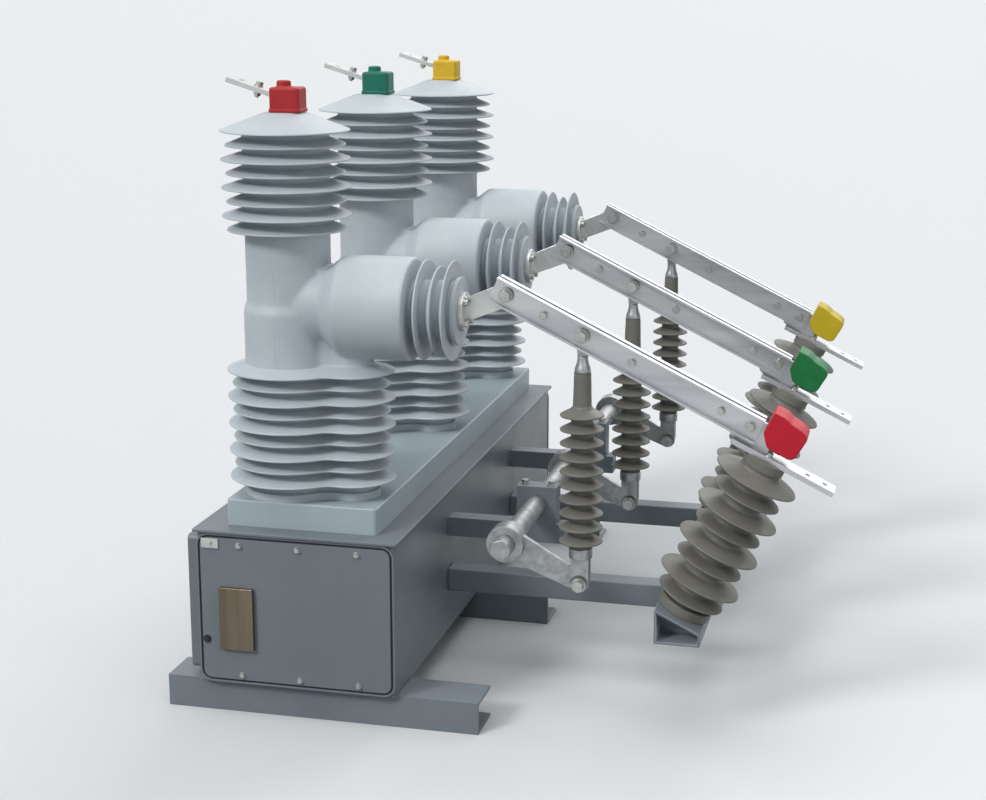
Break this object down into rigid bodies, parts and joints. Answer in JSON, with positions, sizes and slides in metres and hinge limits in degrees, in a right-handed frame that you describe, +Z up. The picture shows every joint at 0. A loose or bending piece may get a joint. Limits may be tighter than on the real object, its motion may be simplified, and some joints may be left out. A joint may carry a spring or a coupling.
{
  "type": "outdoor vacuum circuit breaker with isolating switch",
  "caption": "Outdoor vacuum circuit breaker: shedded poles with side transformers on a steel cabinet, and a blade isolating switch on inclined posts.",
  "frame": {"origin": "on the ground, on the middle base rail's underside, below the middle pole's axis", "axes": "+X towards the isolating switch and the line terminals, +Y along the row from the red pole to the yellow pole, +Z up"},
  "size_m": [1.5922, 1.742, 1.5317],
  "materials": {
    "pole_silicone": "matte, light blue-grey moulded silicone",
    "cabinet_paint": "satin mid-grey paint on sheet steel",
    "bed_paint": "satin light grey paint",
    "frame_paint": "satin grey paint on steel sections",
    "tinned_metal": "dull tinned copper",
    "galvanised_steel": "dull galvanised steel",
    "plate_metal": "plain metal plate with a warm reflection",
    "switch_insulator": "matte dark grey moulded insulator",
    "pole_boot_red": "satin red moulded boot",
    "pole_boot_green": "satin green moulded boot",
    "pole_boot_yellow": "satin yellow moulded boot",
    "line_boot_red": "satin red moulded boot",
    "line_boot_green": "satin green moulded boot",
    "line_boot_yellow": "satin yellow moulded boot"
  },
  "bodies": {
    "breaker": {"rail_front": "galvanised_steel", "rail_middle": "galvanised_steel", "rail_rear": "galvanised_steel", "cabinet": "cabinet_paint", "pole_bed": "bed_paint", "end_cover_front": "cabinet_paint", "end_cover_rear": "cabinet_paint", "side_cover": "cabinet_paint", "cover_plate": "plate_metal", "bearing_arm_front": "frame_paint", "post_arm_front": "frame_paint", "bearing_arm_rear": "frame_paint", "post_arm_rear": "frame_paint", "seat_beam": "frame_paint", "support_insulator_red": "pole_silicone", "ct_housing_red": "pole_silicone", "interrupter_pole_red": "pole_silicone", "top_terminal_red": "tinned_metal", "top_boot_red": "pole_boot_red", "hinge_lug_red": "tinned_metal", "post_insulator_red": "switch_insulator", "line_terminal_red": "tinned_metal", "line_boot_red": "line_boot_red", "support_insulator_green": "pole_silicone", "ct_housing_green": "pole_silicone", "interrupter_pole_green": "pole_silicone", "top_terminal_green": "tinned_metal", "top_boot_green": "pole_boot_green", "hinge_lug_green": "tinned_metal", "post_insulator_green": "switch_insulator", "line_terminal_green": "tinned_metal", "line_boot_green": "line_boot_green", "support_insulator_yellow": "pole_silicone", "ct_housing_yellow": "pole_silicone", "interrupter_pole_yellow": "pole_silicone", "top_terminal_yellow": "tinned_metal", "top_boot_yellow": "pole_boot_yellow", "hinge_lug_yellow": "tinned_metal", "post_insulator_yellow": "switch_insulator", "line_terminal_yellow": "tinned_metal", "line_boot_yellow": "line_boot_yellow"},
    "isolator_shaft": {"drive_shaft": "galvanised_steel", "crank_red": "galvanised_steel", "crank_green": "galvanised_steel", "crank_yellow": "galvanised_steel"},
    "blade_red": {"blade_red": "tinned_metal"},
    "drive_rod_red": {"drive_insulator_red": "switch_insulator"},
    "blade_green": {"blade_green": "tinned_metal"},
    "drive_rod_green": {"drive_insulator_green": "switch_insulator"},
    "blade_yellow": {"blade_yellow": "tinned_metal"},
    "drive_rod_yellow": {"drive_insulator_yellow": "switch_insulator"}
  },
  "joints": [
    {"name": "isolator_shaft_turn", "type": "hinge", "parent": "breaker", "child": "isolator_shaft", "pos_m": [0.536, 0, 0.442], "axis": [0, -1, 0], "range_deg": [0, 60]},
    {"name": "blade_hinge_red", "type": "hinge", "parent": "breaker", "child": "blade_red", "pos_m": [0.536, -0.7, 1.042], "axis": [0, -1, 0], "range_deg": [0, 60]},
    {"name": "rod_pivot_red", "type": "hinge", "parent": "blade_red", "child": "drive_rod_red", "pos_m": [0.71576, -0.7, 0.95433], "axis": [0, -1, 0], "range_deg": [-60, 0]},
    {"name": "blade_hinge_green", "type": "hinge", "parent": "breaker", "child": "blade_green", "pos_m": [0.536, 0, 1.042], "axis": [0, -1, 0], "range_deg": [0, 60]},
    {"name": "rod_pivot_green", "type": "hinge", "parent": "blade_green", "child": "drive_rod_green", "pos_m": [0.71576, 0, 0.95433], "axis": [0, -1, 0], "range_deg": [-60, 0]},
    {"name": "blade_hinge_yellow", "type": "hinge", "parent": "breaker", "child": "blade_yellow", "pos_m": [0.536, 0.7, 1.042], "axis": [0, -1, 0], "range_deg": [0, 60]},
    {"name": "rod_pivot_yellow", "type": "hinge", "parent": "blade_yellow", "child": "drive_rod_yellow", "pos_m": [0.71576, 0.7, 0.95433], "axis": [0, -1, 0], "range_deg": [-60, 0]}
  ],
  "couplings": [
    {"joint": "blade_hinge_red", "follows": "isolator_shaft_turn", "ratio": 1},
    {"joint": "rod_pivot_red", "follows": "isolator_shaft_turn", "ratio": -1},
    {"joint": "blade_hinge_green", "follows": "isolator_shaft_turn", "ratio": 1},
    {"joint": "rod_pivot_green", "follows": "isolator_shaft_turn", "ratio": -1},
    {"joint": "blade_hinge_yellow", "follows": "isolator_shaft_turn", "ratio": 1},
    {"joint": "rod_pivot_yellow", "follows": "isolator_shaft_turn", "ratio": -1}
  ]
}
